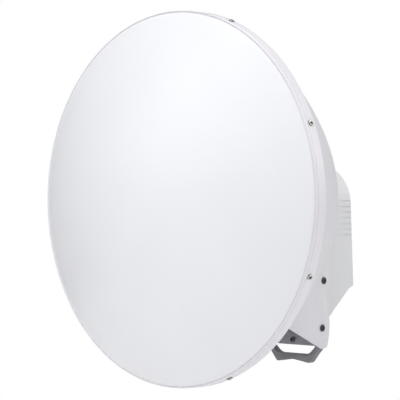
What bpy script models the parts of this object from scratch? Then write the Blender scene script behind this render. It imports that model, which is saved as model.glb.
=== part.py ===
"""A covered dish antenna on a tilting mast bracket: dome, bowl, radio housing, side plates and cast bracket.

Metres, +Z up. The dish faces -Y. The origin is on the flat rear face of the cast bracket, where a mast
clamp or a wall plate bolts on. Sizes are first written from the centre of the dish's rim, and an empty
there carries them to their place.
"""

import math

import bmesh
import bpy
from mathutils import Matrix, Vector

MM = 0.001
GAP = 0.3 * MM  # running and seating gap between neighbours

# Rim, dome and bowl. y counts backwards from the plane just in front of the rim.
RIM_R = 189.8 * MM
SEAM_R = 188.5 * MM
SEAM_Y = 2.5 * MM
DOME_RISE = 49.9 * MM
SHELL = 2.5 * MM
SKIRT = 2.2 * MM
SKIRT_BACK_Y = 17 * MM
FLANGE_Y = (9 * MM, 15 * MM)
BOWL_R = 187 * MM
BOWL_WALL = 2.2 * MM
BOWL_DEPTH = 174 * MM  # to the point of the parabola, which the flat cuts off
BOWL_FLAT_R = 84 * MM
FEED_HOLE_R = 24 * MM
ROUND_STEPS = 48

# Rim screws
RIM_SCREWS = 8
RIM_SCREW_FIRST = math.radians(22.5)
RIM_SCREW_Y = 10 * MM
RIM_SCREW_R = 2.9 * MM
RIM_SCREW_H = 1.4 * MM

# Hub plate and frame. The frame's side plates run back past the housing to the tilt bolts.
HUB_R = 80 * MM
HUB_THICK = 5 * MM
FRAME_HALF = 55 * MM
PLATE = 3.5 * MM
WEB_THICK = 4 * MM
WEB_Z = (-62 * MM, 40 * MM)
PLATE_BACK_Y = 182 * MM
PLATE_BULGE_Y = 183.2 * MM
PLATE_TOP_Z = 40 * MM
PLATE_LOW_Z = -155.9 * MM

# Tilt pivot, and the lock bolt that runs in an arc slot round it
PIVOT_Y = 172.7 * MM
PIVOT_Z = -84.3 * MM
LOCK_RADIUS = 49.7 * MM
LOCK_LEAN = math.radians(2.4)
TILT_UP = math.radians(15)
TILT_DOWN = math.radians(10)
BOLT_R = 2.5 * MM
BOLT_HEAD_R = 3.8 * MM
BOLT_HEAD_H = 1 * MM
NUT_R = 4.2 * MM
NUT_H = 2.5 * MM
HOLE_R = BOLT_R + GAP

# Radio housing, with a round top as seen from behind
BODY_HALF = 41 * MM
ARCH_Z = -2.5 * MM
BODY_BACK_Y = 206.3 * MM
BODY_KEEL = (199.7 * MM, -123.8 * MM)
KEEL_SLOPE = math.radians(41.8)
COVER_BACK_Y = 239.4 * MM
COVER_LOW_Z = -90.8 * MM
COVER_LEAN = 0.056
GLAND_Y = 218 * MM
GLAND_R = 6 * MM
GLAND_LENGTH = 14 * MM

# Cast bracket that the mast holds
BRACKET_HALF = FRAME_HALF - PLATE - GAP
EAR_THICK = 4 * MM
WALL_FRONT_Y = 187 * MM
WALL_BACK_Y = 195 * MM
WALL_HALF = 40 * MM
WALL_Z = (-148 * MM, -135 * MM)
EAR_BACK_Y = 184 * MM
EAR_LOW_Z = -147 * MM
FACE_Z = -144.5 * MM
FACE_BOLT_Z = -149.8 * MM
FACE_BOLT_R = 2.8 * MM
FACE_BOLT_H = 1.8 * MM

WHITE = (0.86, 0.87, 0.89, 1)
PAINT = (0.62, 0.61, 0.65, 1)
PLASTIC = (0.58, 0.60, 0.60, 1)
CAST = (0.10, 0.10, 0.11, 1)
STEEL = (0.42, 0.41, 0.38, 1)
BLACK = (0.02, 0.022, 0.025, 1)


def material(name, colour, roughness, metallic):
    """A plain shader with the part's colour, roughness and metallic value."""
    made = bpy.data.materials.new(name)
    made.use_nodes = True
    shader = made.node_tree.nodes["Principled BSDF"]
    shader.inputs["Base Color"].default_value = colour
    shader.inputs["Roughness"].default_value = roughness
    shader.inputs["Metallic"].default_value = metallic
    return made


def place(name, mesh, look, carrier, smooth=True):
    """Links a finished mesh as one named object under its carrier."""
    piece = bpy.data.objects.new(name, mesh)
    bpy.context.scene.collection.objects.link(piece)
    mesh.materials.append(look)
    if smooth:
        mesh.shade_smooth()
        mesh.set_sharp_from_angle(angle=math.radians(35))
    piece.parent = carrier
    return piece


def finish(name, shape):
    """Turns a bmesh into a mesh whose faces point outwards."""
    bmesh.ops.remove_doubles(shape, verts=shape.verts, dist=1e-6)
    bmesh.ops.recalc_face_normals(shape, faces=shape.faces)
    mesh = bpy.data.meshes.new(name)
    shape.to_mesh(mesh)
    shape.free()
    return mesh


def turned(name, profile, steps=ROUND_STEPS, closed=True):
    """A (radius, y) outline turned about Y. An open one starts and ends on the axis."""
    shape = bmesh.new()
    points = [shape.verts.new((r, y, 0)) for r, y in profile]
    following = points[1:] + points[:1] if closed else points[1:]
    edges = [shape.edges.new((a, b)) for a, b in zip(points, following)]
    bmesh.ops.spin(
        shape, geom=points + edges, cent=(0, 0, 0), axis=(0, 1, 0), angle=math.tau, steps=steps
    )
    return finish(name, shape)


def slab(name, outline, low, high, holes=()):
    """A (y, z) outline extruded along X from low to high, with round holes of (y, z, radius)."""
    mesh = extruded(name, [(low, y, z) for y, z in outline], Vector((high - low, 0, 0)))
    for y, z, radius in holes:
        cut(mesh, rod(name + "_cut", (low - MM, y, z), (high + MM, y, z), radius, 24))
    return mesh


def extruded(name, points, along):
    """A flat outline pushed along a vector into a closed solid."""
    shape = bmesh.new()
    face = shape.faces.new([shape.verts.new(p) for p in points])
    pushed = bmesh.ops.extrude_face_region(shape, geom=[face])
    moved = [v for v in pushed["geom"] if isinstance(v, bmesh.types.BMVert)]
    bmesh.ops.translate(shape, verts=moved, vec=along)
    return finish(name, shape)


def rod(name, start, end, radius, sides):
    """A plain cylinder between two points."""
    start, end = Vector(start), Vector(end)
    along = end - start
    turn = along.to_track_quat("Z", "Y").to_matrix().to_4x4()
    shape = bmesh.new()
    bmesh.ops.create_cone(
        shape, cap_ends=True, segments=sides, radius1=radius, radius2=radius, depth=along.length,
        matrix=Matrix.Translation((start + end) / 2) @ turn,
    )
    return finish(name, shape)


def combine(mesh, other, operation):
    """Applies a Boolean of two meshes to the first one."""
    first = bpy.data.objects.new("first", mesh)
    second = bpy.data.objects.new("second", other)
    for piece in (first, second):
        bpy.context.scene.collection.objects.link(piece)
    boolean = first.modifiers.new("boolean", "BOOLEAN")
    boolean.operation = operation
    boolean.object = second
    bpy.context.view_layer.update()
    graph = bpy.context.evaluated_depsgraph_get()
    joined = bpy.data.meshes.new_from_object(first.evaluated_get(graph))
    bpy.data.objects.remove(first)
    bpy.data.objects.remove(second)
    shape = bmesh.new()
    shape.from_mesh(joined)
    mesh.clear_geometry()
    shape.to_mesh(mesh)
    shape.free()
    bpy.data.meshes.remove(joined)
    bpy.data.meshes.remove(other)


def cut(mesh, cutter):
    combine(mesh, cutter, "DIFFERENCE")


def unite(mesh, other):
    combine(mesh, other, "UNION")


def arc(centre, radius, start, end, count):
    """Points on a circular arc, angles in radians from the first axis."""
    return [
        (
            centre[0] + radius * math.cos(start + (end - start) * i / count),
            centre[1] + radius * math.sin(start + (end - start) * i / count),
        )
        for i in range(count + 1)
    ]


def dome_points(outset, last_r, count):
    """(radius, y) along the spherical dome, from its crown to its edge."""
    sphere_r = (SEAM_R**2 + DOME_RISE**2) / (2 * DOME_RISE)
    centre_y = SEAM_Y - DOME_RISE + sphere_r
    radius = sphere_r + outset
    edge = math.asin(last_r / radius)
    return [
        (radius * math.sin(edge * i / count), centre_y - radius * math.cos(edge * i / count))
        for i in range(count + 1)
    ]


def bowl_points(inset, count):
    """(radius, y) along the bowl's parabola, from its flange in to the flat for the hub."""
    wide = BOWL_R - inset
    deep = BOWL_DEPTH - inset
    radii = [wide + (BOWL_FLAT_R - wide) * i / count for i in range(count + 1)]
    return [(r, FLANGE_Y[1] + deep * (1 - (r / wide) ** 2)) for r in radii]


BOWL_FLAT_Y = bowl_points(0, 1)[-1][1]
HUB_Y = (BOWL_FLAT_Y + GAP, BOWL_FLAT_Y + GAP + HUB_THICK)
WEB_Y = (HUB_Y[1] + GAP, HUB_Y[1] + GAP + WEB_THICK)
BODY_FRONT_Y = WEB_Y[1] + GAP
LOCK_Y = PIVOT_Y - LOCK_RADIUS * math.sin(LOCK_LEAN)
LOCK_Z = PIVOT_Z - LOCK_RADIUS * math.cos(LOCK_LEAN)


def radome(look, carrier):
    """The dome, the low lip round its edge and the skirt that wraps the bowl's flange."""
    dome = dome_points(0, SEAM_R, 8)
    lip = [
        (RIM_R - 1 * MM, 1.6 * MM),
        (RIM_R - 0.5 * MM, 1.2 * MM),
        (RIM_R, 2.4 * MM),
    ]
    skirt = [
        (RIM_R, SKIRT_BACK_Y - 1 * MM),
        (RIM_R - 1 * MM, SKIRT_BACK_Y),
        (RIM_R - SKIRT, SKIRT_BACK_Y),
        (RIM_R - SKIRT, SEAM_Y + SHELL),
    ]
    inside = dome_points(-SHELL, SEAM_R - SHELL, 6)[::-1]
    mesh = turned("radome", dome + lip + skirt + inside, closed=False)
    place("radome", mesh, look, carrier)


def reflector_bowl(look, carrier):
    """The metal dish behind the dome, with a flange at its rim and a flat back for the hub."""
    flange_r = RIM_R - SKIRT - GAP
    inner = bowl_points(BOWL_WALL, 7)
    outline = [
        (inner[0][0], FLANGE_Y[0]),
        (flange_r, FLANGE_Y[0]),
        (flange_r, FLANGE_Y[1]),
        *bowl_points(0, 8),
        (FEED_HOLE_R, BOWL_FLAT_Y),
        (FEED_HOLE_R, inner[-1][1]),
        *inner[::-1],
    ]
    place("reflector_bowl", turned("reflector_bowl", outline), look, carrier)


def rim_screws(look, carrier):
    """Low round heads on the skirt, evenly spaced round the rim."""
    for i in range(RIM_SCREWS):
        angle = RIM_SCREW_FIRST + math.tau * i / RIM_SCREWS
        out = Vector((math.cos(angle), 0, math.sin(angle)))
        seat = out * (RIM_R + GAP) + Vector((0, RIM_SCREW_Y, 0))
        name = f"rim_screw_{i + 1}"
        head = rod(name, seat, seat + out * RIM_SCREW_H, RIM_SCREW_R, 12)
        place(name, head, look, carrier)


def frame(hub_look, look, carrier):
    """Hub plate on the bowl's flat, cross web behind it and the two long side plates."""
    hub = rod("hub_plate", (0, HUB_Y[0], 0), (0, HUB_Y[1], 0), HUB_R, 32)
    place("hub_plate", hub, hub_look, carrier)
    inner = FRAME_HALF - PLATE
    web_half = inner - GAP
    (low, high), (front, back) = WEB_Z, WEB_Y
    web = slab("frame_web", [(front, low), (back, low), (back, high), (front, high)], -web_half, web_half)
    place("frame_web", web, look, carrier)
    outline = [
        (front, PLATE_TOP_Z),
        (front, low),
        (128 * MM, -100 * MM),
        (111 * MM, PLATE_LOW_Z + 27.9 * MM),
        (168 * MM, PLATE_LOW_Z + 1.9 * MM),
        (172 * MM, PLATE_LOW_Z),
        (178.6 * MM, PLATE_LOW_Z + 1.2 * MM),
        (180 * MM, PLATE_LOW_Z + 3.5 * MM),
        (PLATE_BULGE_Y - 1.8 * MM, PLATE_LOW_Z + 9 * MM),
        (PLATE_BULGE_Y - 0.5 * MM, PLATE_LOW_Z + 16 * MM),
        (PLATE_BULGE_Y, PLATE_LOW_Z + 23 * MM),
        (PLATE_BULGE_Y, PLATE_LOW_Z + 28 * MM),
        (PLATE_BACK_Y, PLATE_LOW_Z + 34.5 * MM),
        (PLATE_BACK_Y, -20 * MM),
        (177 * MM, 0),
        (168 * MM, PLATE_TOP_Z),
    ]
    holes = [(PIVOT_Y, PIVOT_Z, HOLE_R), (LOCK_Y, LOCK_Z, HOLE_R)]
    for side, low_x, high_x in (("left", -FRAME_HALF, -inner), ("right", inner, FRAME_HALF)):
        name = f"side_plate_{side}"
        plate = slab(name, outline, low_x, high_x, holes)
        place(name, plate, look, carrier, smooth=False)


def tilt_bolts(look, carrier):
    """Pivot and lock bolts: a head outside each side plate, a shank, and a nut inside the ear."""
    for side, sign in (("left", -1), ("right", 1)):
        for kind, y, z in (("pivot", PIVOT_Y, PIVOT_Z), ("lock", LOCK_Y, LOCK_Z)):
            name = f"{kind}_bolt_{side}"
            outside = FRAME_HALF + GAP
            inside = BRACKET_HALF - EAR_THICK - GAP
            profile = [
                (0, outside + BOLT_HEAD_H),
                (BOLT_HEAD_R - 0.5 * MM, outside + BOLT_HEAD_H),
                (BOLT_HEAD_R, outside + BOLT_HEAD_H - 0.5 * MM),
                (BOLT_HEAD_R, outside),
                (BOLT_R, outside),
                (BOLT_R, inside),
                (NUT_R, inside),
                (NUT_R, inside - NUT_H),
                (0, inside - NUT_H),
            ]
            bolt = place(name, turned(name, profile, 16, closed=False), look, carrier)
            bolt.rotation_euler = (0, 0, -sign * math.pi / 2)
            bolt.location = (0, y, z)


def keel(y):
    """(y, z) on the sloped underside that rises from the keel to the back."""
    keel_y, keel_z = BODY_KEEL
    return (y, keel_z + (y - keel_y) * math.tan(KEEL_SLOPE))


def arched(name, outline):
    """A (y, z) outline pushed across, then cut to the round-topped shape that is seen from behind."""
    mesh = slab(name, outline, -BODY_HALF - MM, BODY_HALF + MM)
    low = BODY_KEEL[1] - MM
    over = arc((0, ARCH_Z), BODY_HALF, 0, math.pi, 24)
    arch = [(BODY_HALF, low), *over, (-BODY_HALF, low)]
    length = COVER_BACK_Y - BODY_FRONT_Y + 2 * MM
    prism = extruded("arch", [(x, BODY_FRONT_Y - MM, z) for x, z in arch], Vector((0, length, 0)))
    combine(mesh, prism, "INTERSECT")
    return mesh


def radio(body_look, cover_look, gland_look, carrier):
    """The radio housing behind the web, its rear cover and the cable gland under it."""
    above = ARCH_Z + BODY_HALF + 2 * MM
    body = [
        (BODY_FRONT_Y, above),
        (BODY_BACK_Y, above),
        keel(BODY_BACK_Y),
        BODY_KEEL,
        (BODY_FRONT_Y, BODY_KEEL[1] + 4 * MM),
    ]
    place("radio_housing", arched("radio_housing", body), body_look, carrier)
    cover_front = BODY_BACK_Y + GAP
    cover = [
        (cover_front, above),
        (COVER_BACK_Y - COVER_LEAN * (above - COVER_LOW_Z), above),
        (COVER_BACK_Y, COVER_LOW_Z),
        (COVER_BACK_Y - 1 * MM, COVER_LOW_Z - 1.4 * MM),
        (232.4 * MM, COVER_LOW_Z - 3.9 * MM),
        keel(230.9 * MM),
        keel(cover_front),
    ]
    place("housing_cover", arched("housing_cover", cover), cover_look, carrier)
    out = Vector((0, math.sin(KEEL_SLOPE), -math.cos(KEEL_SLOPE)))
    start = Vector((0, *keel(GLAND_Y))) + out * GAP
    gland = rod("cable_gland", start, start + out * GLAND_LENGTH, GLAND_R, 16)
    place("cable_gland", gland, gland_look, carrier)


def ear_outline():
    """(y, z) of the bracket's ear, rounded over the pivot."""
    over = arc((PIVOT_Y, PIVOT_Z), 9 * MM, math.radians(165), math.radians(-10), 8)
    return [
        (149 * MM, -143 * MM),
        (149 * MM, -120 * MM),
        *over,
        (EAR_BACK_Y, -122 * MM),
        (EAR_BACK_Y, -144 * MM),
        (178 * MM, EAR_LOW_Z),
        (168 * MM, EAR_LOW_Z),
    ]


def slot_outline():
    """(y, z) of the arc slot that the lock bolt runs in."""
    # Angles turn from +Y towards +Z, so straight down is -90 degrees
    rest = -math.pi / 2 - LOCK_LEAN
    first, last = rest - TILT_UP, rest + TILT_DOWN
    centre = (PIVOT_Y, PIVOT_Z)
    ends = [
        (PIVOT_Y + LOCK_RADIUS * math.cos(a), PIVOT_Z + LOCK_RADIUS * math.sin(a)) for a in (first, last)
    ]
    outer = arc(centre, LOCK_RADIUS + HOLE_R, first, last, 6)
    inner = arc(centre, LOCK_RADIUS - HOLE_R, last, first, 6)
    far_end = arc(ends[1], HOLE_R, last, last + math.pi, 4)[1:-1]
    near_end = arc(ends[0], HOLE_R, first + math.pi, first + math.tau, 4)[1:-1]
    return outer + far_end + inner + near_end


def bracket(look, bolt_look, carrier):
    """The cast bracket: two ears, the wall between them, and the loop under it."""
    side = BRACKET_HALF
    ear = BRACKET_HALF - EAR_THICK
    low, high = WALL_Z
    half_plan = [
        (side, 176 * MM),
        (side, EAR_BACK_Y),
        (WALL_HALF, WALL_BACK_Y),
    ]
    half_inside = [(43 * MM, WALL_FRONT_Y), (ear, 184 * MM), (ear, 176 * MM)]
    plan = (
        half_plan
        + [(-x, y) for x, y in half_plan[::-1]]
        + [(-x, y) for x, y in half_inside[::-1]]
        + half_inside
    )
    name = "mast_bracket"
    mesh = extruded(name, [(x, y, low) for x, y in plan], Vector((0, 0, high - low)))
    for sign in (-1, 1):
        ends = sorted((sign * side, sign * ear))
        unite(mesh, slab("ear", ear_outline(), *ends))
        cut(mesh, slab("slot", slot_outline(), ends[0] - MM, ends[1] + MM))
        hole = ((ends[0] - MM, PIVOT_Y, PIVOT_Z), (ends[1] + MM, PIVOT_Y, PIVOT_Z))
        cut(mesh, rod("hole", *hole, HOLE_R, 16))
    foot_half = [
        (39.6 * MM, -146 * MM),
        (39.6 * MM, -154.7 * MM),
        (31.4 * MM, -163.2 * MM),
        (24 * MM, -172.2 * MM),
        (21.8 * MM, -173.7 * MM),
        (12 * MM, -172.2 * MM),
    ]
    foot = foot_half + [(0, -170.6 * MM)] + [(-x, z) for x, z in foot_half[::-1]]
    through = Vector((0, WALL_BACK_Y - WALL_FRONT_Y, 0))
    unite(mesh, extruded("foot", [(x, WALL_FRONT_Y, z) for x, z in foot], through))
    window_half = [
        (30.8 * MM, -155 * MM),
        (30.4 * MM, -156.8 * MM),
        (24.6 * MM, -162.2 * MM),
        (21.5 * MM, -163.9 * MM),
        (18 * MM, -164.6 * MM),
    ]
    window = window_half + [(-x, z) for x, z in window_half[::-1]]
    window_cut = extruded("window", [(x, WALL_FRONT_Y - MM, z) for x, z in window], through * 1.25)
    cut(mesh, window_cut)
    place(name, mesh, look, carrier, smooth=False)
    seat = Vector((0, WALL_FRONT_Y - GAP, FACE_BOLT_Z))
    head = rod("face_bolt", seat, seat - Vector((0, FACE_BOLT_H, 0)), FACE_BOLT_R, 16)
    place("face_bolt", head, bolt_look, carrier)


def main():
    for old in list(bpy.data.objects):
        bpy.data.objects.remove(old)
    dish = bpy.data.objects.new("dish_axis", None)
    bpy.context.scene.collection.objects.link(dish)
    dish.location = (0, -WALL_BACK_Y, -FACE_Z)
    radome(material("dome_plastic", WHITE, 0.35, 0.0), dish)
    paint = material("frame_paint", PAINT, 0.45, 0.0)
    steel = material("screw_steel", STEEL, 0.3, 1.0)
    black = material("black_bolt", BLACK, 0.4, 0.6)
    reflector_bowl(material("bowl_paint", PAINT, 0.45, 0.0), dish)
    rim_screws(steel, dish)
    frame(material("hub_paint", PAINT, 0.45, 0.0), paint, dish)
    tilt_bolts(black, dish)
    radio(
        material("housing_plastic", PLASTIC, 0.5, 0.0),
        material("cover_plastic", PLASTIC, 0.5, 0.0),
        material("gland_rubber", BLACK, 0.7, 0.0),
        dish,
    )
    bracket(material("cast_metal", CAST, 0.5, 0.8), black, dish)


main()
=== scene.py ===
"""Dresses a covered dish antenna: white dome, bowl, radio housing, side plates and cast mast bracket."""

import math

import bpy
from bpy.props import FloatProperty, FloatVectorProperty, IntProperty, PointerProperty
from mathutils import Matrix, Quaternion, Vector


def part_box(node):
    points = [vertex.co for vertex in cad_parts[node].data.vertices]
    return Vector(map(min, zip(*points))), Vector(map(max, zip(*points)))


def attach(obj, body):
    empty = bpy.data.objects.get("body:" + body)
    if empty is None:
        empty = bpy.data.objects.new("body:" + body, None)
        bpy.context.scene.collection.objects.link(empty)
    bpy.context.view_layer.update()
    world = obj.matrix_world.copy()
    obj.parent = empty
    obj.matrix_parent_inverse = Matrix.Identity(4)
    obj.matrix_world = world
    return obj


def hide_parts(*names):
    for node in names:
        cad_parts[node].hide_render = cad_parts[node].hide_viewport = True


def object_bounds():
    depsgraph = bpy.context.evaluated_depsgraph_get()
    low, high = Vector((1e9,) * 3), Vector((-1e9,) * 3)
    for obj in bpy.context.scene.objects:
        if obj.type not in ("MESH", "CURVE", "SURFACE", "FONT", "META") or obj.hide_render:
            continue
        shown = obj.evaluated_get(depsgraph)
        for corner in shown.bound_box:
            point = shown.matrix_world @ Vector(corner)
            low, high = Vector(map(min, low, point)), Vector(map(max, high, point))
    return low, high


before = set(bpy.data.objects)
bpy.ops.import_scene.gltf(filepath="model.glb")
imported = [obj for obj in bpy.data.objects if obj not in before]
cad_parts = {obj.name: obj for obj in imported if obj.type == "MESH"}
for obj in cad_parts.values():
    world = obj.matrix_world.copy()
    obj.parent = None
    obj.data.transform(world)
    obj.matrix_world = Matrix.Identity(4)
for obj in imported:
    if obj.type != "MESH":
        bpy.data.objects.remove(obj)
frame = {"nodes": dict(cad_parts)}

bl_info = {
    "name": "Covered dish antenna",
    "version": (1, 0, 0),
    "blender": (4, 5, 0),
    "location": "View3D > Sidebar > Dish",
    "description": "Builds the dressed pieces and the stage of a covered dish antenna",
    "category": "Add Mesh",
}

MM = 0.001
# Places nearer than NEAR count as one, and vertices nearer than WELD are merged
NEAR = 0.01 * MM
WELD = 0.001 * MM

CAD_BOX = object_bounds()
CAD_NODES = frame["nodes"]


def corners(box):
    """The low and the high corner of a box as vectors."""
    return [Vector(corner) for corner in box]


# The dish's own axes: depths count back from the rim's front, heights from the dish's centre
RADOME_LOW, RADOME_HIGH = corners(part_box("radome"))
RIM_R = (RADOME_HIGH.x - RADOME_LOW.x) / 2
SKIRT_DEPTH = 17 * MM
RIM_Y = RADOME_HIGH.y - SKIRT_DEPTH
DISH_Z = (RADOME_HIGH.z + RADOME_LOW.z) / 2
DISH_CENTRE = Vector((0, RIM_Y, DISH_Z))
DOME_FRONT = RADOME_LOW.y - RIM_Y
BOWL_LOW, BOWL_HIGH = corners(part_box("reflector_bowl"))
HUB_HIGH = corners(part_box("hub_plate"))[1]
WEB_HIGH = corners(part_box("frame_web"))[1]
CASE_LOW, CASE_HIGH = corners(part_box("radio_housing"))
LID_LOW, LID_HIGH = corners(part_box("housing_cover"))
# The rear cover's flat leans forwards by LID_LEAN from its lower edge, LID_FOOT under the dish's centre
LID_LEAN = 0.056
LID_FOOT = 90.8 * MM

# Radius of the tilt bolts, and depth of the grain on the moulded parts
TILT_SHANK_R = 2.45 * MM
DOME_GRAIN = 0.02 * MM
HOUSING_GRAIN = 0.06 * MM


def length_property(name, description, default):
    """A size in metres for the panel."""
    return FloatProperty(name=name, description=description, default=default, unit="LENGTH")


def angle_property(name, description, degrees):
    """An angle for the panel, given in degrees."""
    return FloatProperty(
        name=name, description=description, default=math.radians(degrees), subtype="ANGLE"
    )


def colour_property(name, description, default):
    """A colour for the panel."""
    return FloatVectorProperty(
        name=name, description=description, default=default, subtype="COLOR", size=3, min=0, max=1
    )


class DishSizes(bpy.types.PropertyGroup):
    """Sizes of the fine shapes that the dressed pieces add."""

    round_steps: IntProperty(
        name="Round steps", description="Facets round the dome and bowl", default=192, min=48, max=360
    )
    seam_radius: length_property("Seam radius", "Where the dome meets the lip of its rim", 188.5 * MM)
    seam_depth: length_property("Seam depth", "How far the seam lies behind the rim's front", 2.5 * MM)
    wall: length_property("Cover wall", "Thickness of the moulded cover", 2.2 * MM)
    groove: length_property("Groove depth", "Depth of the fine line round the skirt", 0.45 * MM)
    fin_pitch: length_property("Fin pitch", "Distance between the cover's cooling grooves", 6 * MM)
    fin_count: IntProperty(name="Grooves", description="Grooves between the cooling fins", default=7)
    fin_width: length_property("Groove width", "Width of each cooling groove", 1.3 * MM)
    side_depth: length_property("Side depth", "Depth of the grooves along the cover's sides", 0.35 * MM)
    rear_depth: length_property("Rear depth", "Depth of the grooves across the cover's rear", 0.9 * MM)
    soft_edge: length_property("Soft edge", "Radius on the edges of sheet and moulded parts", 0.6 * MM)


class DishFinish(bpy.types.PropertyGroup):
    """Colours of the finishes."""

    dome: colour_property("Dome white", "Moulded cover", (0.845, 0.85, 0.88))
    skirt: colour_property("Skirt white", "Lip and skirt of the moulded cover", (0.86, 0.845, 0.885))
    bowl: colour_property("Bowl paint", "Powder coat on the bowl", (0.84, 0.83, 0.87))
    frame: colour_property("Frame paint", "Powder coat on hub, web and plates", (0.77, 0.76, 0.8))
    housing: colour_property("Housing grey", "Moulded radio housing", (0.77, 0.775, 0.79))
    casting: colour_property("Casting grey", "Cast mast bracket", (0.23, 0.23, 0.25))
    steel: colour_property("Steel", "Bright screws", (0.72, 0.7, 0.66))
    # Bolt black, whole or halved, is also the painted shade in the screws' sockets and on their flanks;
    # the rim screws' socket shade is steel at a fifth of its brightness
    black: colour_property("Bolt black", "Bolts, sockets and gland", (0.1, 0.112, 0.112))


class DishStage(bpy.types.PropertyGroup):
    """Where the camera stands and how strong the lights are."""

    azimuth: angle_property("Azimuth", "Camera's turn from the dish's front", 44.03)
    elevation: angle_property("Elevation", "Camera's height angle", -0.12)
    roll: angle_property("Roll", "Camera's tilt about its view", 0.29)
    distance: length_property("Distance", "Camera to the point that it looks at", 1.869)
    lens: FloatProperty(name="Lens", description="Focal length in millimetres", default=169.9)
    lights: FloatProperty(name="Lights", description="Share of the soft lights' power", default=1.0)
    surround: FloatProperty(
        name="Surround", description="Share of the white room's light", default=1.0
    )


class Signal:
    """A shader socket whose sums and products add Math nodes."""

    def __init__(self, tree, socket):
        self.tree = tree
        self.socket = socket

    def maths(self, operation, *others):
        """Adds a Math node that takes this socket first."""
        node = self.tree.nodes.new("ShaderNodeMath")
        node.operation = operation
        for value, slot in zip((self, *others), node.inputs):
            if isinstance(value, Signal):
                self.tree.links.new(value.socket, slot)
            else:
                slot.default_value = value
        return Signal(self.tree, node.outputs[0])

    def __add__(self, other):
        return self.maths("ADD", other)

    def __mul__(self, other):
        return self.maths("MULTIPLY", other)


class Finish:
    """A material on the Principled shader, built node by node."""

    def __init__(self, name, colour, roughness, metallic=0.0):
        self.material = bpy.data.materials.new(name)
        self.material.use_nodes = True
        self.tree = self.material.node_tree
        self.shader = self.tree.nodes["Principled BSDF"]
        self.shader.inputs["Base Color"].default_value = (*colour, 1)
        self.shader.inputs["Roughness"].default_value = roughness
        self.shader.inputs["Metallic"].default_value = metallic
        self.place = self.node("ShaderNodeTexCoord", output="Object")

    def node(self, kind, settings=None, inputs=None, output=0):
        """Adds a node with its settings and inputs, and gives one of its outputs."""
        node = self.tree.nodes.new(kind)
        for name, value in (settings or {}).items():
            setattr(node, name, value)
        for name, value in (inputs or {}).items():
            self.connect(value, node.inputs[name])
        return Signal(self.tree, node.outputs[output])

    def connect(self, value, socket):
        """Links a signal to a socket, or writes a constant on it."""
        if isinstance(value, Signal):
            self.tree.links.new(value.socket, socket)
        else:
            socket.default_value = value

    def set(self, socket, value):
        """Feeds one of the shader's own sockets."""
        self.connect(value, self.shader.inputs[socket])

    def stretched(self, scale):
        """Object coordinates scaled along each axis, for grain that runs one way."""
        return self.node("ShaderNodeMapping", inputs={"Vector": self.place, "Scale": scale})

    def noise(self, scale, detail=3.0, vector=None):
        """Smooth noise from 0 to 1. scale counts features per metre."""
        inputs = {"Vector": vector or self.place, "Scale": scale, "Detail": detail, "Roughness": 0.55}
        return self.node("ShaderNodeTexNoise", inputs=inputs)

    def between(self, factor, low, high):
        """A number that runs from low to high with the factor."""
        return self.node(
            "ShaderNodeMapRange", {"clamp": True},
            {"Value": factor, "From Min": 0.3, "From Max": 0.7, "To Min": low, "To Max": high},
        )

    def tint(self, factor, dark, light):
        """A colour mixed from dark to light by the factor."""
        dark, light = (end if isinstance(end, Signal) else (*end, 1) for end in (dark, light))
        inputs = {0: factor, 6: dark, 7: light}
        return self.node("ShaderNodeMix", {"data_type": "RGBA"}, inputs, output=2)

    def bump(self, height, distance):
        """Raises the surface's normals by a height signal, over a distance in metres."""
        self.set("Normal", self.node("ShaderNodeBump", inputs={"Height": height, "Distance": distance}))


def shade(colour, share):
    """The colour made lighter or darker by a share."""
    return tuple(min(1.0, channel * share) for channel in colour)


def moulded_finish(name, colour, roughness, grain, behind=None, trim=None):
    """Satin moulded plastic with a fine grain and a slow drift of tone.

    With a trim colour, all that lies behind the depth has that colour.
    """
    finish = Finish(name, colour, roughness)
    drift = finish.noise(9.0, detail=2.0)
    grit = finish.noise(1400.0, detail=2.0)
    tone = finish.tint(finish.between(drift, 0, 1), shade(colour, 0.985), shade(colour, 1.01))
    if trim:
        depth = finish.node("ShaderNodeSeparateXYZ", inputs={"Vector": finish.place}, output=1)
        tone = finish.tint(depth.maths("GREATER_THAN", behind), tone, trim)
    finish.set("Base Color", tone)
    finish.set("Roughness", finish.between(drift * 0.6 + grit * 0.4, roughness - 0.04, roughness + 0.05))
    finish.bump(grit + finish.noise(55.0, detail=1.0) * 2.0, grain)
    return finish.material


def powder_finish(name, colour, roughness):
    """Powder coat: a low orange peel under a fine grain."""
    finish = Finish(name, colour, roughness)
    peel = finish.noise(420.0, detail=2.0)
    fine = finish.noise(2200.0, detail=1.0)
    drift = finish.noise(14.0)
    mask = finish.between(drift, 0, 1)
    finish.set("Base Color", finish.tint(mask, shade(colour, 0.97), shade(colour, 1.02)))
    finish.set("Roughness", finish.between(fine, roughness - 0.06, roughness + 0.08))
    finish.bump(peel * 0.7 + fine * 0.3, 0.08 * MM)
    return finish.material


def cast_finish(name, colour):
    """Sand cast metal with a linished grain that runs across it."""
    finish = Finish(name, colour, 0.42, metallic=0.55)
    brushed = finish.noise(1.0, detail=4.0, vector=finish.stretched((90, 900, 2600)))
    pits = finish.noise(1500.0, detail=3.0)
    mask = finish.between(brushed * 0.7 + pits * 0.3, 0, 1)
    finish.set("Base Color", finish.tint(mask, shade(colour, 0.72), shade(colour, 1.3)))
    finish.set("Roughness", finish.between(pits, 0.36, 0.55))
    finish.bump(brushed * 0.5 + pits * 0.5, 0.12 * MM)
    return finish.material


def metal_finish(name, colour, roughness, metallic):
    """Small bright or blackened steel fasteners with fine turning marks."""
    finish = Finish(name, colour, roughness, metallic)
    marks = finish.noise(2400.0, detail=2.0)
    mask = finish.between(marks, 0, 1)
    finish.set("Base Color", finish.tint(mask, shade(colour, 0.8), shade(colour, 1.15)))
    finish.set("Roughness", finish.between(marks, roughness - 0.06, roughness + 0.12))
    finish.bump(marks, 0.03 * MM)
    return finish.material


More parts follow.
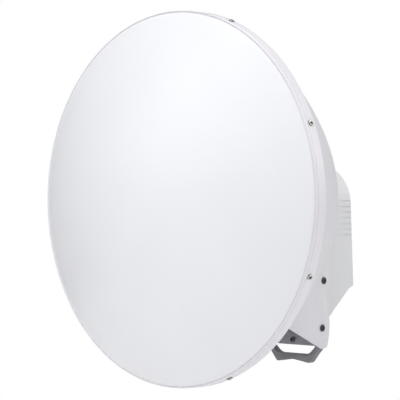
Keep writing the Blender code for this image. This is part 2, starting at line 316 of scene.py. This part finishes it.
def rubber_finish(name, colour):
    """Dull rubber with a fine grain."""
    finish = Finish(name, colour, 0.75)
    grain = finish.noise(1800.0)
    finish.set("Roughness", finish.between(grain, 0.65, 0.85))
    finish.bump(grain, 0.06 * MM)
    return finish.material


def settings():
    """The sizes, the colours and the stage that the panel shows."""
    scene = bpy.context.scene
    return scene.dish_sizes, scene.dish_finish, scene.dish_stage


def object_mode():
    """Leaves edit mode and lets go of every object."""
    if bpy.context.mode != "OBJECT":
        bpy.ops.object.mode_set(mode="OBJECT")
    bpy.ops.object.select_all(action="DESELECT")


def take(piece):
    """Makes one object the only selected and active one."""
    object_mode()
    piece.select_set(True)
    bpy.context.view_layer.objects.active = piece


def pick(piece, kind, test):
    """Selects the faces, edges or vertices that pass the test, and goes to edit mode."""
    take(piece)
    bpy.ops.object.mode_set(mode="EDIT")
    bpy.ops.mesh.select_mode(type=kind)
    bpy.ops.mesh.select_all(action="DESELECT")
    bpy.ops.object.mode_set(mode="OBJECT")
    mesh = piece.data
    if kind == "FACE":
        for face in mesh.polygons:
            face.select = test(face.center, face.normal)
    elif kind == "EDGE":
        for edge in mesh.edges:
            start, end = (mesh.vertices[i].co for i in edge.vertices)
            edge.select = test(start, end)
    else:
        for vertex in mesh.vertices:
            vertex.select = test(vertex.co)
    bpy.ops.object.mode_set(mode="EDIT")


def ring(name, radius, depth, steps):
    """A circle about the dish's axis, in edit mode and all selected."""
    object_mode()
    bpy.ops.mesh.primitive_circle_add(
        vertices=steps, radius=radius, fill_type="NOTHING",
        location=DISH_CENTRE + Vector((0, depth, 0)), rotation=(math.pi / 2, 0, 0),
    )
    piece = bpy.context.active_object
    piece.name = name
    bpy.ops.object.transform_apply(location=True, rotation=True, scale=True)
    bpy.ops.object.mode_set(mode="EDIT")
    bpy.ops.mesh.select_all(action="SELECT")
    return piece


def turned(name, outline, steps, closed=False):
    """A (radius, depth) outline carried round the dish's axis, ring by ring."""
    piece = ring(name, *outline[0], steps)
    stations = outline[1:] + outline[:1] if closed else outline[1:]
    radius, depth = outline[0]
    for next_radius, next_depth in stations:
        bpy.ops.mesh.extrude_edges_move(TRANSFORM_OT_translate={"value": (0, next_depth - depth, 0)})
        share = next_radius / radius
        bpy.ops.transform.resize(
            value=(share, 1, share), center_override=DISH_CENTRE + Vector((0, next_depth, 0))
        )
        radius, depth = next_radius, next_depth
    if not closed:
        bpy.ops.mesh.edge_face_add()
        first_radius, first_depth = outline[0]
        first_y = RIM_Y + first_depth
        pick(piece, "VERT", lambda at: abs(at.y - first_y) < NEAR and off_axis(at) < first_radius + NEAR)
        bpy.ops.mesh.edge_face_add()
    bpy.ops.mesh.select_all(action="SELECT")
    bpy.ops.mesh.remove_doubles(threshold=WELD)
    bpy.ops.mesh.normals_make_consistent(inside=False)
    smooth(piece)
    return piece


def off_axis(at):
    """Distance from the dish's axis."""
    return math.hypot(at.x, at.z - DISH_Z)


def smooth(piece, degrees=30):
    """Shades the piece smooth, except over edges sharper than the angle."""
    take(piece)
    bpy.ops.object.shade_smooth_by_angle(angle=math.radians(degrees))


def from_node(name, node):
    """A copy of a CAD node's mesh with its flats made whole, ready to be softened."""
    object_mode()
    piece = bpy.data.objects.new(name, CAD_NODES[node].data.copy())
    bpy.context.scene.collection.objects.link(piece)
    piece.data.materials.clear()
    take(piece)
    bpy.ops.mesh.customdata_custom_splitnormals_clear()
    bpy.ops.object.mode_set(mode="EDIT")
    bpy.ops.mesh.select_all(action="SELECT")
    bpy.ops.mesh.remove_doubles(threshold=WELD)
    bpy.ops.mesh.dissolve_limited(angle_limit=math.radians(1))
    bpy.ops.mesh.normals_make_consistent(inside=False)
    object_mode()
    return piece


def bevel_edges(piece, width, segments, test):
    """Rounds the edges that pass the test."""
    pick(piece, "EDGE", test)
    bpy.ops.mesh.bevel(
        offset=width, offset_type="OFFSET", segments=segments, profile=0.5, clamp_overlap=True
    )
    object_mode()


def bevel_sharp(piece, width, segments, test, degrees=25):
    """Rounds the sharp edges that pass the test."""
    pick(piece, "EDGE", lambda start, end: False)
    bpy.ops.mesh.edges_select_sharp(sharpness=math.radians(degrees))
    bpy.ops.object.mode_set(mode="OBJECT")
    sharp = {frozenset(edge.vertices) for edge in piece.data.edges if edge.select}
    ends = [{tuple(piece.data.vertices[i].co) for i in edge} for edge in sharp]
    bevel_edges(piece, width, segments, lambda a, b: {tuple(a), tuple(b)} in ends and test(a, b))


def soften(piece, width, segments=3, degrees=25):
    """Rounds every sharp edge with a bevel and shades the flats flat."""
    take(piece)
    bevel = piece.modifiers.new("soft edges", "BEVEL")
    bevel.width = width
    bevel.segments = segments
    bevel.limit_method = "ANGLE"
    bevel.angle_limit = math.radians(degrees)
    bevel.harden_normals = True
    bpy.ops.object.modifier_apply(modifier=bevel.name)
    smooth(piece)


def arc(centre, radius, start, end, count):
    """(radius, depth) points on an arc. Angles in degrees: 0 points outwards, 90 to the back."""
    angles = [math.radians(start + (end - start) * i / count) for i in range(count + 1)]
    return [(centre[0] + radius * math.cos(a), centre[1] + radius * math.sin(a)) for a in angles]


def hand_in(piece, body, nodes, finish):
    """Gives a finished piece its finish, its body and the CAD nodes that it stands for."""
    object_mode()
    piece.data.materials.clear()
    piece.data.materials.append(finish)
    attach(piece, body)
    if nodes:
        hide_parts(*nodes)


class DISH_OT_dome(bpy.types.Operator):
    """Adds the white dome, the seam round it with painted shade along it, the low lip and the skirt with
    its fine line.
    """

    bl_idname = "dish.dome"
    bl_label = "Dome"

    def execute(self, context):
        sizes, colours, _ = settings()
        seam_r, seam_y = sizes.seam_radius, sizes.seam_depth
        rise = seam_y - DOME_FRONT
        sphere = (seam_r**2 + rise**2) / (2 * rise)
        centre = seam_y - rise + sphere

        def cap(inset, last, count):
            """Points on the sphere, or inside it, from beside the axis out to the last radius."""
            radius = sphere - inset
            reach = math.asin(last / radius)
            angles = [reach * (i + 0.15) / (count + 0.15) for i in range(count + 1)]
            return [(radius * math.sin(a), centre - radius * math.cos(a)) for a in angles]

        seam_foot = seam_y + 0.6 * MM
        line_front, line_back = 5.4 * MM, 6 * MM
        line_r = RIM_R - sizes.groove
        roll = 1.8 * MM
        skirt_back = SKIRT_DEPTH + 0.6 * MM
        inside_r = RIM_R - sizes.wall
        outline = [
            *cap(0, seam_r - 1.2 * MM, 44),
            (seam_r - 0.55 * MM, seam_y - 0.15 * MM),
            (seam_r - 0.45 * MM, seam_foot),
            (seam_r - 0.1 * MM, seam_foot),
            (seam_r + 0.4 * MM, seam_y - 0.4 * MM),
            (seam_r + 0.7 * MM, seam_y - 0.8 * MM),
            (RIM_R - 0.4 * MM, seam_y - 0.5 * MM),
            (RIM_R, line_front - 0.1 * MM),
            (line_r, line_front),
            (line_r, line_back),
            (RIM_R, line_back + 0.1 * MM),
            *arc((RIM_R - roll, skirt_back - roll), roll, 0, 90, 7),
            (inside_r, skirt_back),
            (inside_r, seam_y + 2.6 * MM),
            *cap(2.5 * MM, seam_r - 2 * MM, 20)[::-1],
        ]
        piece = turned("dome_cover", outline, sizes.round_steps)
        skirt_y = RIM_Y + 2.3 * MM
        finish = moulded_finish(
            "dome_white", colours.dome, 0.34, DOME_GRAIN, skirt_y, tuple(colours.skirt)
        )
        hand_in(piece, "dish", ["radome"], finish)
        # Painted shade: a slightly darker grey on the faces just inside the seam stands in for the
        # seam's shadow.
        grey = moulded_finish("seam_painted_shade", shade(colours.dome, 0.935), 0.6, DOME_GRAIN)
        piece.data.materials.append(grey)
        for face in piece.data.polygons:
            from_seam = off_axis(face.center) - seam_r
            in_seam = -1.25 * MM < from_seam < 0.1 * MM
            face.material_index = 1 if in_seam else 0
        return {"FINISHED"}


class DISH_OT_bowl(bpy.types.Operator):
    """Adds the bowl behind the dome, with its flange and the flat that carries the hub."""

    bl_idname = "dish.bowl"
    bl_label = "Bowl"

    def execute(self, context):
        sizes, colours, _ = settings()
        flange_r = (BOWL_HIGH.x - BOWL_LOW.x) / 2
        front = BOWL_LOW.y - RIM_Y
        back = BOWL_HIGH.y - RIM_Y
        flange = 15 * MM
        flange_edge = 0.6 * MM
        bowl_r = 187 * MM
        flat_r = 84 * MM
        flat_edge = 4 * MM
        bore_r = 24 * MM
        wall = 2.2 * MM
        power = 2.04
        deep = (back - flange) / (1 - (flat_r / bowl_r) ** power)

        def curve(inset, count):
            """Points on the bowl's curve, or inside it, from the flange in to the flat."""
            wide, depth = bowl_r - inset, deep - inset
            radii = [wide + (flat_r - wide) * i / count for i in range(count + 1)]
            return [(r, flange + depth * (1 - (r / wide) ** power)) for r in radii]

        outer = curve(0, 40)
        inner = curve(wall, 24)
        outline = [
            (inner[0][0], front),
            (flange_r, front),
            *arc((flange_r - flange_edge, flange - flange_edge), flange_edge, 0, 90, 4),
            *outer[:-1],
            *arc((flat_r - 1.5 * MM, back - flat_edge), flat_edge, 50, 90, 5),
            (HUB_HIGH.x + 1.2 * MM, back),
            (HUB_HIGH.x - 6 * MM, back),
            (bore_r, back),
            (bore_r, inner[-1][1]),
            *inner[::-1],
        ]
        piece = turned("bowl_shell", outline, sizes.round_steps, closed=True)
        finish = powder_finish("bowl_paint", colours.bowl, 0.42)
        hand_in(piece, "dish", ["reflector_bowl"], finish)
        return {"FINISHED"}


def drum(name, radius, height, sides, lift=0.0):
    """A cylinder that stands on a level and faces +Z."""
    object_mode()
    bpy.ops.mesh.primitive_cylinder_add(
        vertices=sides, radius=radius, depth=height, location=(0, 0, lift + height / 2)
    )
    piece = bpy.context.active_object
    piece.name = name
    bpy.ops.object.transform_apply(location=True, rotation=True, scale=True)
    return piece


def carve(piece, cutter):
    """Cuts one mesh out of another and throws the cutter away."""
    take(piece)
    boolean = piece.modifiers.new("carve", "BOOLEAN")
    boolean.object = cutter
    boolean.operation = "DIFFERENCE"
    bpy.ops.object.modifier_apply(modifier=boolean.name)
    bpy.data.objects.remove(cutter)


def socket_screw(name, radius, height, socket, shank_radius=0.0, shank=0.0):
    """A domed head that faces +Z from the origin, with a six-sided socket and a shank under it."""
    head = drum(name, radius, height, 36)
    bevel_edges(head, height * 0.55, 4, lambda a, b: min(a.z, b.z) > height - NEAR)
    if shank:
        pick(head, "FACE", lambda at, normal: normal.z < -0.99)
        bpy.ops.mesh.inset(thickness=radius - shank_radius)
        bpy.ops.mesh.extrude_region_move(TRANSFORM_OT_translate={"value": (0, 0, -shank)})
    carve(head, drum(name + "_key", socket, height, 6, lift=height * 0.25))
    return head


def hex_nut(name, radius, height, bore):
    """A hexagonal nut on the origin, facing +Z: a chamfered rim and the bolt's end in its bore."""
    nut = drum(name, radius, height, 6)
    bevel_edges(nut, height * 0.12, 2, lambda a, b: min(a.z, b.z) > height - NEAR)
    pick(nut, "FACE", lambda at, normal: normal.z > 0.99)
    bpy.ops.mesh.inset(thickness=radius * 0.86 - bore)
    bpy.ops.mesh.extrude_region_move(TRANSFORM_OT_translate={"value": (0, 0, -height * 0.2)})
    return nut


def put(piece, place):
    """Moves a finished mesh to its place and leaves the object unturned at the origin."""
    take(piece)
    piece.matrix_world = place
    bpy.ops.object.transform_apply(location=True, rotation=True, scale=True)
    smooth(piece, 40)


def copy_of(piece, name):
    """A second piece with a mesh of its own."""
    twin = piece.copy()
    twin.data = piece.data.copy()
    twin.name = name
    bpy.context.scene.collection.objects.link(twin)
    return twin


def facing(seat, out):
    """A place that stands on a seat and turns +Z to point outwards."""
    return Matrix.Translation(seat) @ out.to_track_quat("Z", "Y").to_matrix().to_4x4()


def paint_socket_shade(screw, seat, out, reach, black):
    """Paints shade on a screw: the faces inside its socket and round its flank get the darker finish, in
    place of the shadow there.
    """
    # black is the finish that stands in for the shade in the socket and round the head
    screw.data.materials.append(black)
    for face in screw.data.polygons:
        inside = (face.center - seat).cross(out).length < reach
        flank = abs(face.normal.dot(out)) < 0.3
        face.material_index = 1 if inside or flank else 0


def fit_screws(pattern, seats, body, look, black, reach):
    """Copies a screw to each named (seat, out, replaced nodes) and paints shade into its socket and
    round its flank.
    """
    for name, (seat, out, nodes) in seats.items():
        screw = copy_of(pattern, name)
        put(screw, facing(seat, out))
        hand_in(screw, body, nodes, look)
        paint_socket_shade(screw, seat, out, reach, black)
    bpy.data.objects.remove(pattern)


def centre_of(node):
    """The middle of a CAD node's box."""
    low, high = corners(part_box(node))
    return (low + high) / 2


class DISH_OT_rim_screws(bpy.types.Operator):
    """Adds the steel screws round the skirt, each with painted shade in its socket and round its flank.
    """

    bl_idname = "dish.rim_screws"
    bl_label = "Rim screws"

    def execute(self, context):
        _, colours, _ = settings()
        steel = metal_finish("screw_steel", colours.steel, 0.3, 1.0)
        # Painted shade: steel at a fifth of its brightness, for the shadow in each socket and round each
        # head.
        black = metal_finish("socket_painted_shade", shade(colours.steel, 0.2), 0.5, 0.6)
        socket = 1.1 * MM
        pattern = socket_screw("rim_screw", 2.9 * MM, 1.35 * MM, socket)
        seats = {}
        for node in sorted(node for node in CAD_NODES if node.startswith("rim_screw_")):
            at = centre_of(node)
            out = Vector((at.x, 0, at.z - DISH_Z)).normalized()
            seat = Vector((0, at.y, DISH_Z)) + out * (RIM_R + 0.05 * MM)
            seats[node.replace("rim_screw", "rim_socket_screw")] = (seat, out, [node])
        fit_screws(pattern, seats, "dish", steel, black, socket)
        return {"FINISHED"}


class DISH_OT_frame(bpy.types.Operator):
    """Adds the hub plate, the cross web and the two side plates with their rounded rear edges."""

    bl_idname = "dish.frame"
    bl_label = "Hub and side plates"

    def execute(self, context):
        sizes, colours, _ = settings()
        paint = powder_finish("frame_paint", colours.frame, 0.45)
        hub = from_node("hub_disc", "hub_plate")
        soften(hub, 1.2 * MM, 4)
        hand_in(hub, "dish", ["hub_plate"], paint)
        web = from_node("cross_web", "frame_web")
        soften(web, sizes.soft_edge)
        hand_in(web, "dish", ["frame_web"], paint)
        for side in ("left", "right"):
            self.side_plate(side, sizes, paint)
        self.screws(colours)
        return {"FINISHED"}

    def side_plate(self, side, sizes, paint):
        """Rounds the plate's outer rear edge well, and its other edges a little."""
        node = f"side_plate_{side}"
        low, high = corners(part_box(node))
        outside = high.x if side == "right" else low.x
        rear = high.y - 6 * MM

        def on_rear_edge(a, b):
            on_outside = max(abs(a.x - outside), abs(b.x - outside)) < NEAR
            return on_outside and min(a.y, b.y) > rear

        plate = from_node(f"side_arm_{side}", node)
        bevel_edges(plate, 0.9 * MM, 4, on_rear_edge)
        soften(plate, sizes.soft_edge, 3, 35)
        hand_in(plate, "dish", [node], paint)

    def screws(self, colours):
        """Six screws through the hub plate, outside the web, and three down each side of the web."""
        steel = metal_finish("frame_screw_steel", colours.steel, 0.32, 1.0)
        # Painted shade: bolt black in each steel screw's socket and on its flank, for the shadow there.
        black = metal_finish("frame_socket_painted_shade", colours.black, 0.5, 0.4)
        back = Vector((0, 1, 0))
        circle = 69 * MM
        socket = 1.6 * MM
        seats = {}
        for turn in (-22.5, 22.5, 67.5, 112.5, 157.5, 202.5):
            x, z = circle * math.cos(math.radians(turn)), circle * math.sin(math.radians(turn))
            seats[f"hub_screw_{len(seats) + 1}"] = (Vector((x, HUB_HIGH.y, DISH_Z + z)), back, [])
        hub_screws = len(seats)
        line = (CASE_HIGH.x + WEB_HIGH.x) / 2
        for side in (-1, 1):
            for height in (28 * MM, -10 * MM, -48 * MM):
                name = f"web_screw_{len(seats) - hub_screws + 1}"
                seats[name] = (Vector((side * line, WEB_HIGH.y, DISH_Z + height)), back, [])
        pattern = socket_screw("frame_screw", 3.2 * MM, 1.8 * MM, socket)
        fit_screws(pattern, seats, "dish", steel, black, socket)


class DISH_OT_tilt_bolts(bpy.types.Operator):
    """Adds the pivot and lock bolts through the side plates, each with its nut inside the ear."""

    bl_idname = "dish.tilt_bolts"
    bl_label = "Tilt bolts"

    def execute(self, context):
        _, colours, _ = settings()
        black = metal_finish("bolt_black", colours.black, 0.38, 0.7)
        # Painted shade: half the bolts' black, in each socket and on each head's flank, for the shadow
        # there.
        dark = metal_finish("bolt_socket_painted_shade", shade(colours.black, 0.5), 0.6, 0.2)
        socket = 2 * MM
        nut_height = 2.5 * MM
        seats, nuts = {}, {}
        for side, outward in (("left", -1), ("right", 1)):
            low, high = corners(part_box(f"side_plate_{side}"))
            outside = max(abs(low.x), abs(high.x))
            out = Vector((outward, 0, 0))
            for kind in ("pivot", "lock"):
                node = f"{kind}_bolt_{side}"
                at = centre_of(node)
                inside = min(abs(corner[0]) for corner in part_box(node))
                seats[f"{kind}_screw_{side}"] = (Vector((outward * outside, at.y, at.z)), out, [node])
                nut_seat = Vector((outward * (inside + nut_height), at.y, at.z))
                nuts[f"{kind}_nut_{side}"] = (nut_seat, -out)
        shank = outside - inside - 1 * MM
        pattern = socket_screw("tilt_screw", 3.7 * MM, 0.95 * MM, socket, TILT_SHANK_R, shank)
        fit_screws(pattern, seats, "dish", black, dark, socket)
        nut = hex_nut("tilt_nut", 4.2 * MM, nut_height, TILT_SHANK_R)
        for name, (seat, out) in nuts.items():
            twin = copy_of(nut, name)
            put(twin, facing(seat, out))
            hand_in(twin, "dish", [], black)
        bpy.data.objects.remove(nut)
        return {"FINISHED"}


class DISH_OT_radio(bpy.types.Operator):
    """Adds the radio housing and its rear cover with the cooling grooves and corner screws."""

    bl_idname = "dish.radio"
    bl_label = "Radio housing"

    def execute(self, context):
        sizes, colours, _ = settings()
        plastic = moulded_finish("housing_grey", colours.housing, 0.48, HOUSING_GRAIN)
        seam = CASE_HIGH.y
        cover_seam = seam + 0.05 * MM
        body = from_node("radio_case", "radio_housing")
        self.round_off(body, (CASE_LOW.y, seam))
        self.ease_seam(body, seam)
        hand_in(body, "dish", ["radio_housing"], plastic)
        cover = from_node("rear_cover", "housing_cover")
        self.round_off(cover, (LID_LOW.y,))
        self.close_seam(cover, cover_seam)
        self.ease_seam(cover, cover_seam)
        self.grooves(cover, sizes)
        hand_in(cover, "dish", ["housing_cover"], plastic)
        self.corner_screws(colours)
        return {"FINISHED"}

    def round_off(self, piece, crisp):
        """Rounds the outline as seen from behind and the edges of both sides, but no seam."""

        def on_outline(a, b):
            in_seam = any(max(abs(a.y - y), abs(b.y - y)) < NEAR for y in crisp)
            return not in_seam and abs(a.x - b.x) < CASE_HIGH.x

        bevel_sharp(piece, 1.3 * MM, 4, on_outline)
        smooth(piece)

    def close_seam(self, cover, seam):
        """Brings the cover's front edge up to the case, so that only a hairline parts them."""
        front = LID_LOW.y
        pick(cover, "VERT", lambda at: at.y < front + NEAR)
        bpy.ops.transform.translate(value=(0, seam - front, 0))
        object_mode()

    def ease_seam(self, piece, seam):
        """Takes the sharpness off the edge along the seam."""
        bevel_edges(piece, 0.15 * MM, 2, lambda a, b: max(abs(a.y - seam), abs(b.y - seam)) < NEAR)

    def grooves(self, cover, sizes):
        """Cuts the level grooves: fine ones along both sides, deeper ones across the rear."""
        half = sizes.fin_width / 2
        levels = [DISH_Z - 0.5 * MM - i * sizes.fin_pitch for i in range(sizes.fin_count)]
        start = CASE_HIGH.y + 1 * MM
        deeper_from = CASE_HIGH.y + 14.7 * MM
        across = 36 * MM
        rear = Vector((0, 1, LID_LEAN)).normalized()
        side_end = Vector((0, self.rear_at(0), DISH_Z)) - rear * 2.3 * MM
        planes = [(Vector((0, 0, z + offset)), (0, 0, 1)) for z in levels for offset in (-half, half)]
        planes += [(Vector((0, y, 0)), (0, 1, 0)) for y in (start, deeper_from)]
        planes += [(Vector((x, 0, 0)), (1, 0, 0)) for x in (-across, across)]
        planes.append((side_end, rear))
        take(cover)
        bpy.ops.object.mode_set(mode="EDIT")
        for place, normal in planes:
            bpy.ops.mesh.select_all(action="SELECT")
            bpy.ops.mesh.bisect(plane_co=place, plane_no=normal)

        def level(at):
            return any(abs(at.z - z) < half for z in levels)

        def along_side(at, normal):
            return abs(normal.x) > 0.9 and at.y > start and (at - side_end).dot(rear) < 0 and level(at)

        def deeper(at, normal):
            return along_side(at, normal) and at.y > deeper_from

        def across_rear(at, normal):
            return normal.y > 0.9 and abs(at.x) < across and level(at)

        cuts = (
            (along_side, sizes.side_depth), (deeper, sizes.side_depth), (across_rear, sizes.rear_depth),
        )
        for test, depth in cuts:
            pick(cover, "FACE", test)
            bpy.ops.mesh.extrude_region_shrink_fatten(TRANSFORM_OT_shrink_fatten={"value": -depth})
        smooth(cover)

    def corner_screws(self, colours):
        """Four small screws hold the rear cover on the case."""
        steel = metal_finish("cover_screw_steel", colours.steel, 0.32, 1.0)
        # Painted shade: bolt black in each steel screw's socket and on its flank, for the shadow there.
        black = metal_finish("cover_socket_painted_shade", colours.black, 0.5, 0.4)
        out = Vector((0, 1, LID_LEAN)).normalized()
        socket = 1.3 * MM
        seats = {}
        for across, height in ((24 * MM, 16 * MM), (34 * MM, -66 * MM)):
            for side in (-1, 1):
                seat = Vector((side * across, self.rear_at(height), DISH_Z + height))
                seats[f"cover_screw_{len(seats) + 1}"] = (seat, out, [])
        pattern = socket_screw("cover_screw", 2.6 * MM, 1.0 * MM, socket)
        fit_screws(pattern, seats, "dish", steel, black, socket)

    def rear_at(self, height):
        """How far back the cover's leaning rear face lies at a height over the dish's centre."""
        return LID_HIGH.y - LID_LEAN * (height + LID_FOOT)


class DISH_OT_gland(bpy.types.Operator):
    """Adds the cable gland under the housing: a hexagon, a fluted cap and its plugged bore."""

    bl_idname = "dish.gland"
    bl_label = "Cable gland"

    def execute(self, context):
        _, colours, _ = settings()
        rubber = rubber_finish("gland_rubber", colours.black)
        slope = math.radians(41.8)
        out = Vector((0, math.sin(slope), -math.cos(slope)))
        top = 14 * MM
        seat = centre_of("cable_gland") - out * top / 2
        base = drum("gland_hexagon", 6 * MM, 4.5 * MM, 6)
        soften(base, 0.5 * MM)
        put(base, facing(seat, out))
        hand_in(base, "dish", [], rubber)
        cap_foot = 4.4 * MM
        cap = drum("gland_cap", 5.6 * MM, top - cap_foot, 24, lift=cap_foot)
        bevel_edges(cap, 1.2 * MM, 4, lambda a, b: min(a.z, b.z) > top - NEAR)
        pick(cap, "FACE", lambda at, normal: self.flute(normal))
        bpy.ops.mesh.inset(thickness=0.2 * MM, use_individual=True)
        bpy.ops.mesh.extrude_faces_move(TRANSFORM_OT_shrink_fatten={"value": -0.35 * MM})
        pick(cap, "FACE", lambda at, normal: normal.z > 0.99)
        bpy.ops.mesh.inset(thickness=1.3 * MM)
        bpy.ops.mesh.extrude_region_move(TRANSFORM_OT_translate={"value": (0, 0, -2.5 * MM)})
        put(cap, facing(seat, out))
        hand_in(cap, "dish", ["cable_gland"], rubber)
        return {"FINISHED"}

    def flute(self, normal):
        """True for every other side face."""
        step = math.degrees(math.atan2(normal.y, normal.x)) / 15
        return abs(normal.z) < 0.1 and round(step - 0.5) % 2 == 0


class DISH_OT_bracket(bpy.types.Operator):
    """Adds the cast mast bracket with softened edges, and its black screw."""

    bl_idname = "dish.bracket"
    bl_label = "Mast bracket"

    def execute(self, context):
        _, colours, _ = settings()
        grey = cast_finish("cast_grey", colours.casting)
        casting = from_node("cast_bracket", "mast_bracket")
        soften(casting, 0.7 * MM)
        hand_in(casting, "bracket", ["mast_bracket"], grey)
        black = metal_finish("face_screw_black", colours.black, 0.38, 0.7)
        # Painted shade: half the screw's black, in its socket and on its flank, for the shadow there.
        dark = metal_finish("face_socket_painted_shade", shade(colours.black, 0.5), 0.6, 0.2)
        low, high = corners(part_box("face_bolt"))
        seat = Vector(((low.x + high.x) / 2, high.y, (low.z + high.z) / 2))
        socket = 1.5 * MM
        pattern = socket_screw("face_screw", (high.x - low.x) / 2, high.y - low.y, socket)
        seats = {"face_socket_screw": (seat, Vector((0, -1, 0)), ["face_bolt"])}
        fit_screws(pattern, seats, "bracket", black, dark, socket)
        return {"FINISHED"}


# Name, direction from the dish, side of the square in metres, power in watts
SOFT_LIGHTS = (
    ("key", (-0.45, -0.8, 0.4), 1.6, 10.0),
    ("top", (0, -0.25, 0.97), 1.8, 30.3),
    ("front", (0, -0.85, 0.55), 1.4, 4.4),
    ("high left", (-0.35, -0.55, 0.75), 0.9, 1.4),
    ("high right", (0.35, -0.3, 0.89), 1.1, 1.6),
    ("camera side", (0.75, -0.62, 0.35), 1.2, 1.8),
    ("right", (0.97, 0.2, -0.1), 1.2, 2.2),
    ("rear", (0.7, 0.6, 0.4), 1.4, 18.1),
)
# Strength of the white room towards +X, +Y and +Z, and towards -X, -Y and -Z
ROOM_AHEAD = (0.296, 0.434, 0.476)
ROOM_BEHIND = (0.0, 1.0, 0.0)
# Metres: lights to the dish's centre, the floor's depth under the dish, and the floor's radius
LIGHT_DISTANCE = 2.6
FLOOR_DROP = 0.28
FLOOR_R = 1.5
# Millimetres
FILM_WIDTH = 36


def soft_light(name, place, size, power):
    """A square soft light that looks at the dish."""
    lamp = bpy.data.lights.new(name, "AREA")
    lamp.size = size
    lamp.energy = power
    holder = bpy.data.objects.new(name, lamp)
    bpy.context.scene.collection.objects.link(holder)
    holder.location = place
    holder.rotation_euler = (DISH_CENTRE - place).to_track_quat("-Z", "Y").to_euler()


def room_light(tree):
    """Strength of the room's light by direction, with a share of its own for each of six sides."""

    def vector_maths(operation, *values, output="Vector"):
        node = tree.nodes.new("ShaderNodeVectorMath")
        node.operation = operation
        for value, slot in zip(values, node.inputs):
            if isinstance(value, bpy.types.NodeSocket):
                tree.links.new(value, slot)
            else:
                slot.default_value = value
        return node.outputs[output]

    way = tree.nodes.new("ShaderNodeTexCoord").outputs["Generated"]
    parts = []
    for sign, shares in ((1, ROOM_AHEAD), (-1, ROOM_BEHIND)):
        kept = vector_maths("MAXIMUM", vector_maths("MULTIPLY", way, (sign,) * 3), (0, 0, 0))
        squared = vector_maths("MULTIPLY", kept, kept)
        parts.append(Signal(tree, vector_maths("DOT_PRODUCT", squared, shares, output="Value")))
    return parts[0] + parts[1]


class DISH_OT_stage(bpy.types.Operator):
    """Adds the pale floor, the soft lights, the white surround and the camera."""

    bl_idname = "dish.stage"
    bl_label = "Stage"

    def execute(self, context):
        _, _, stage = settings()
        self.add_floor()
        self.add_surround(stage)
        for name, side, size, power in SOFT_LIGHTS:
            place = DISH_CENTRE + Vector(side).normalized() * LIGHT_DISTANCE
            soft_light(name, place, size, power * stage.lights)
        self.add_camera(stage)
        context.scene.view_settings.view_transform = "Standard"
        return {"FINISHED"}

    def add_floor(self):
        """A pale round floor well under the dish."""
        object_mode()
        bpy.ops.mesh.primitive_circle_add(
            vertices=128, radius=FLOOR_R, fill_type="NGON", location=(0, 0, CAD_BOX[0][2] - FLOOR_DROP)
        )
        floor = bpy.context.active_object
        floor.name = "pale_floor"
        floor.data.materials.append(Finish("pale_floor", (0.9, 0.9, 0.9), 0.6).material)

    def add_surround(self, stage):
        """A room that lights the dish by direction and looks plain white to the camera."""
        world = bpy.data.worlds.new("white_room")
        bpy.context.scene.world = world
        world.use_nodes = True
        tree = world.node_tree
        room = tree.nodes["Background"]
        strength = room_light(tree) * stage.surround
        tree.links.new(strength.socket, room.inputs["Strength"])
        seen = tree.nodes.new("ShaderNodeBackground")
        for background in (room, seen):
            background.inputs["Color"].default_value = (1, 1, 1, 1)
        sight = tree.nodes.new("ShaderNodeLightPath")
        mix = tree.nodes.new("ShaderNodeMixShader")
        tree.links.new(sight.outputs["Is Camera Ray"], mix.inputs[0])
        tree.links.new(room.outputs[0], mix.inputs[1])
        tree.links.new(seen.outputs[0], mix.inputs[2])
        tree.links.new(mix.outputs[0], tree.nodes["World Output"].inputs["Surface"])

    def add_camera(self, stage):
        """The camera: to the dish's right and level with its centre, aimed beside the centre."""
        camera = bpy.data.cameras.new("camera")
        camera.lens = stage.lens
        camera.sensor_width = FILM_WIDTH
        holder = bpy.data.objects.new("camera", camera)
        bpy.context.scene.collection.objects.link(holder)
        aim = DISH_CENTRE + Vector((40.6 * MM, 0, -0.5 * MM))
        turn, lift = stage.azimuth, stage.elevation
        level = Vector((math.sin(turn), -math.cos(turn), 0))
        back = level * math.cos(lift) + Vector((0, 0, math.sin(lift)))
        look = (-back).to_track_quat("-Z", "Y") @ Quaternion((0, 0, 1), stage.roll)
        holder.location = aim + back * stage.distance
        holder.rotation_euler = look.to_euler()
        bpy.context.scene.camera = holder


class DISH_PT_panel(bpy.types.Panel):
    """Lists the pieces and the sizes and colours that they are made from."""

    bl_label = "Covered dish antenna"
    bl_idname = "DISH_PT_panel"
    bl_space_type = "VIEW_3D"
    bl_region_type = "UI"
    bl_category = "Dish"

    def draw(self, context):
        for operator in OPERATORS:
            self.layout.operator(operator.bl_idname)
        for group in settings():
            box = self.layout.box()
            for name in group.bl_rna.properties.keys():
                if name not in {"rna_type", "name"}:
                    box.prop(group, name)


OPERATORS = (
    DISH_OT_dome,
    DISH_OT_bowl,
    DISH_OT_rim_screws,
    DISH_OT_frame,
    DISH_OT_tilt_bolts,
    DISH_OT_radio,
    DISH_OT_gland,
    DISH_OT_bracket,
    DISH_OT_stage,
)
CLASSES = (DishSizes, DishFinish, DishStage, *OPERATORS, DISH_PT_panel)


def register():
    for cls in CLASSES:
        bpy.utils.register_class(cls)
    bpy.types.Scene.dish_sizes = PointerProperty(type=DishSizes)
    bpy.types.Scene.dish_finish = PointerProperty(type=DishFinish)
    bpy.types.Scene.dish_stage = PointerProperty(type=DishStage)


def unregister():
    del bpy.types.Scene.dish_stage
    del bpy.types.Scene.dish_finish
    del bpy.types.Scene.dish_sizes
    for cls in reversed(CLASSES):
        bpy.utils.unregister_class(cls)


def main():
    register()
    for operator in OPERATORS:
        group, action = operator.bl_idname.split(".")
        getattr(getattr(bpy.ops, group), action)()
    object_mode()


if __name__ == "__main__":
    main()
